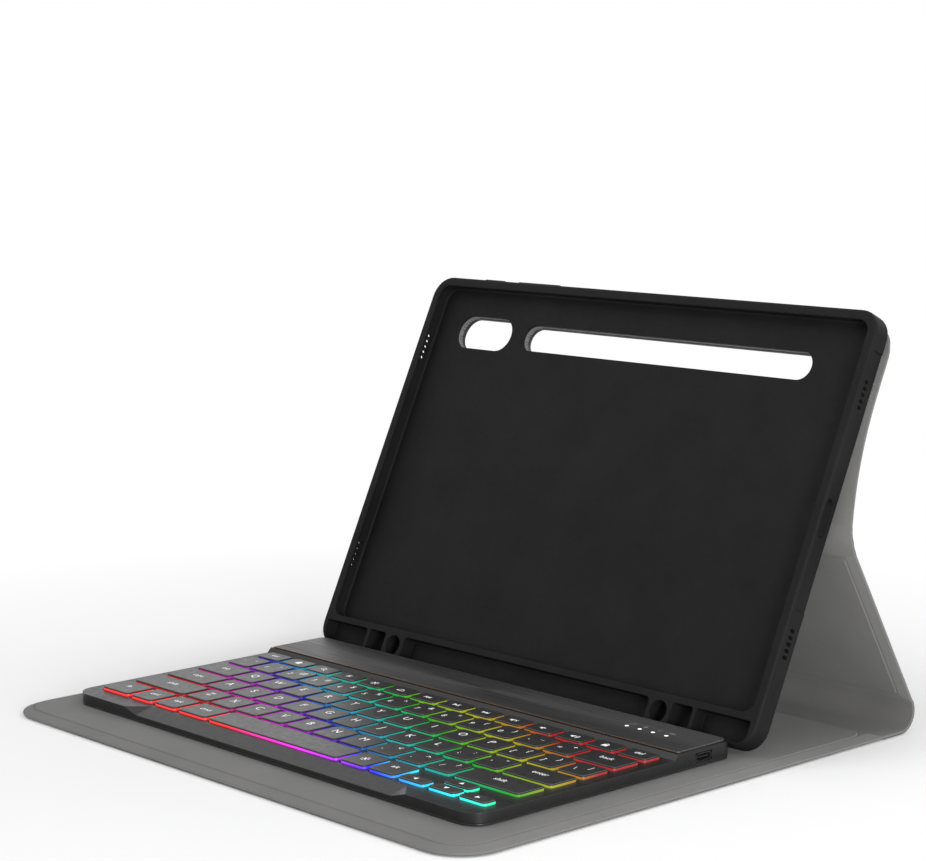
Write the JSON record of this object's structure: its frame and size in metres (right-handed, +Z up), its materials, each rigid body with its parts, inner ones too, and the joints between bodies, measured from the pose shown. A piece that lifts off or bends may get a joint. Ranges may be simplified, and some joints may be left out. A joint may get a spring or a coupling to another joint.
{
  "type": "tablet keyboard case",
  "caption": "Folding tablet case standing open for typing: a moulded tray on a leather cover with a soft grey lining, and a removable backlit keyboard on its base.",
  "frame": {"origin": "centre of the base panel's underside, on the table", "axes": "+X to the typist's right, +Y to the back, +Z up"},
  "size_m": [0.28, 0.2548, 0.1731],
  "materials": {
    "leather_black": "fine grained",
    "lining_grey": "short napped",
    "fibre_board": "pressed",
    "tray_rubber": "satin",
    "case_plastic": "matt",
    "key_plastic": "satin",
    "brushed_panel": "brushed and dark anodised",
    "trim_bronze": "polished",
    "steel": "plain",
    "magnet": "plated",
    "clear_guide": "clear",
    "membrane_film": "film",
    "grey_rubber": "matt",
    "circuit_green": "lacquered",
    "battery_wrap": "foil wrap",
    "lamp_white": "frosted"
  },
  "bodies": {
    "base": {"base_skin": "leather_black", "base_board": "fibre_board", "base_lining": "lining_grey", "base_magnets": "magnet", "spine_skin": "leather_black", "spine_lining": "lining_grey"},
    "stand": {"stand_skin": "leather_black", "stand_board": "fibre_board", "stand_lining": "lining_grey"},
    "tray": {"anchor_skin": "leather_black", "anchor_board": "fibre_board", "anchor_lining": "lining_grey", "pen_strip": "leather_black", "tray_shell": "tray_rubber"},
    "power_button": {"power_button_cover": "tray_rubber"},
    "volume_button": {"volume_button_cover": "tray_rubber"},
    "keyboard": {"keyboard_top_case": "case_plastic", "keyboard_bottom_cover": "case_plastic", "light_guide": "clear_guide", "support_plate": "steel", "switch_membrane": "membrane_film", "dome_sheet": "grey_rubber", "bar_panel": "brushed_panel", "bar_trim": "trim_bronze", "battery": "battery_wrap", "controller_board": "circuit_green", "charging_socket": "steel", "indicator_lamps": "lamp_white", "keyboard_feet": "grey_rubber", "keyboard_screws": "steel"},
    "power_slider": {"power_switch": "case_plastic"},
    "left_modifier_keys": {"left_modifier_keys": "key_plastic"},
    "space_bar": {"space_bar": "key_plastic"},
    "right_modifier_keys": {"right_modifier_keys": "key_plastic"},
    "left_arrow_key": {"left_arrow_key": "key_plastic"},
    "down_arrow_key": {"down_arrow_key": "key_plastic"},
    "up_arrow_key": {"up_arrow_key": "key_plastic"},
    "right_arrow_key": {"right_arrow_key": "key_plastic"},
    "left_shift_key": {"left_shift_key": "key_plastic"},
    "lower_letter_keys": {"lower_letter_keys": "key_plastic"},
    "right_shift_key": {"right_shift_key": "key_plastic"},
    "caps_lock_key": {"caps_lock_key": "key_plastic"},
    "home_letter_keys": {"home_letter_keys": "key_plastic"},
    "enter_key": {"enter_key": "key_plastic"},
    "tab_key": {"tab_key": "key_plastic"},
    "upper_letter_keys": {"upper_letter_keys": "key_plastic"},
    "number_keys": {"number_keys": "key_plastic"},
    "backspace_key": {"backspace_key": "key_plastic"},
    "escape_key": {"escape_key": "key_plastic"},
    "function_keys": {"function_keys": "key_plastic"}
  },
  "joints": [
    {"name": "lid_fold", "type": "hinge", "parent": "base", "child": "stand", "pos_m": [0, 0.13685, 0.0047], "axis": [1, 0, 0], "range_deg": [-120, 0], "deforming": ["spine_skin", "spine_lining"]},
    {"name": "tray_fold", "type": "hinge", "parent": "stand", "child": "tray", "pos_m": [0, 0.09465, 0.08405], "axis": [1, 0, 0], "range_deg": [0, 56]},
    {"name": "keyboard_slide", "type": "slide", "parent": "base", "child": "keyboard", "axis": [0, -1, 0], "range_m": [0, 0.15]},
    {"name": "power_slide", "type": "slide", "parent": "keyboard", "child": "power_slider", "axis": [0, 1, 0], "range_m": [0, 0.0025]},
    {"name": "power_press", "type": "slide", "parent": "tray", "child": "power_button", "axis": [0, -0.4226, -0.9063], "range_m": [0, 0.0004], "stiffness_N_per_m": 800},
    {"name": "volume_press", "type": "slide", "parent": "tray", "child": "volume_button", "axis": [0, -0.4226, -0.9063], "range_m": [0, 0.0004], "stiffness_N_per_m": 800},
    {"name": "left_modifier_keys_press", "type": "slide", "parent": "keyboard", "child": "left_modifier_keys", "axis": [0, 0, -1], "range_m": [0, 0.0011], "stiffness_N_per_m": 300, "deforming": ["dome_sheet"]},
    {"name": "space_bar_press", "type": "slide", "parent": "keyboard", "child": "space_bar", "axis": [0, 0, -1], "range_m": [0, 0.0011], "stiffness_N_per_m": 300, "deforming": ["dome_sheet"]},
    {"name": "right_modifier_keys_press", "type": "slide", "parent": "keyboard", "child": "right_modifier_keys", "axis": [0, 0, -1], "range_m": [0, 0.0011], "stiffness_N_per_m": 300, "deforming": ["dome_sheet"]},
    {"name": "left_arrow_key_press", "type": "slide", "parent": "keyboard", "child": "left_arrow_key", "axis": [0, 0, -1], "range_m": [0, 0.0011], "stiffness_N_per_m": 300, "deforming": ["dome_sheet"]},
    {"name": "down_arrow_key_press", "type": "slide", "parent": "keyboard", "child": "down_arrow_key", "axis": [0, 0, -1], "range_m": [0, 0.0011], "stiffness_N_per_m": 300, "deforming": ["dome_sheet"]},
    {"name": "up_arrow_key_press", "type": "slide", "parent": "keyboard", "child": "up_arrow_key", "axis": [0, 0, -1], "range_m": [0, 0.0011], "stiffness_N_per_m": 300, "deforming": ["dome_sheet"]},
    {"name": "right_arrow_key_press", "type": "slide", "parent": "keyboard", "child": "right_arrow_key", "axis": [0, 0, -1], "range_m": [0, 0.0011], "stiffness_N_per_m": 300, "deforming": ["dome_sheet"]},
    {"name": "left_shift_key_press", "type": "slide", "parent": "keyboard", "child": "left_shift_key", "axis": [0, 0, -1], "range_m": [0, 0.0011], "stiffness_N_per_m": 300, "deforming": ["dome_sheet"]},
    {"name": "lower_letter_keys_press", "type": "slide", "parent": "keyboard", "child": "lower_letter_keys", "axis": [0, 0, -1], "range_m": [0, 0.0011], "stiffness_N_per_m": 300, "deforming": ["dome_sheet"]},
    {"name": "right_shift_key_press", "type": "slide", "parent": "keyboard", "child": "right_shift_key", "axis": [0, 0, -1], "range_m": [0, 0.0011], "stiffness_N_per_m": 300, "deforming": ["dome_sheet"]},
    {"name": "caps_lock_key_press", "type": "slide", "parent": "keyboard", "child": "caps_lock_key", "axis": [0, 0, -1], "range_m": [0, 0.0011], "stiffness_N_per_m": 300, "deforming": ["dome_sheet"]},
    {"name": "home_letter_keys_press", "type": "slide", "parent": "keyboard", "child": "home_letter_keys", "axis": [0, 0, -1], "range_m": [0, 0.0011], "stiffness_N_per_m": 300, "deforming": ["dome_sheet"]},
    {"name": "enter_key_press", "type": "slide", "parent": "keyboard", "child": "enter_key", "axis": [0, 0, -1], "range_m": [0, 0.0011], "stiffness_N_per_m": 300, "deforming": ["dome_sheet"]},
    {"name": "tab_key_press", "type": "slide", "parent": "keyboard", "child": "tab_key", "axis": [0, 0, -1], "range_m": [0, 0.0011], "stiffness_N_per_m": 300, "deforming": ["dome_sheet"]},
    {"name": "upper_letter_keys_press", "type": "slide", "parent": "keyboard", "child": "upper_letter_keys", "axis": [0, 0, -1], "range_m": [0, 0.0011], "stiffness_N_per_m": 300, "deforming": ["dome_sheet"]},
    {"name": "number_keys_press", "type": "slide", "parent": "keyboard", "child": "number_keys", "axis": [0, 0, -1], "range_m": [0, 0.0011], "stiffness_N_per_m": 300, "deforming": ["dome_sheet"]},
    {"name": "backspace_key_press", "type": "slide", "parent": "keyboard", "child": "backspace_key", "axis": [0, 0, -1], "range_m": [0, 0.0011], "stiffness_N_per_m": 300, "deforming": ["dome_sheet"]},
    {"name": "escape_key_press", "type": "slide", "parent": "keyboard", "child": "escape_key", "axis": [0, 0, -1], "range_m": [0, 0.0011], "stiffness_N_per_m": 300, "deforming": ["dome_sheet"]},
    {"name": "function_keys_press", "type": "slide", "parent": "keyboard", "child": "function_keys", "axis": [0, 0, -1], "range_m": [0, 0.0011], "stiffness_N_per_m": 300, "deforming": ["dome_sheet"]}
  ],
  "couplings": [
    {"joint": "tray_fold", "follows": "lid_fold", "ratio": -0.46281}
  ]
}
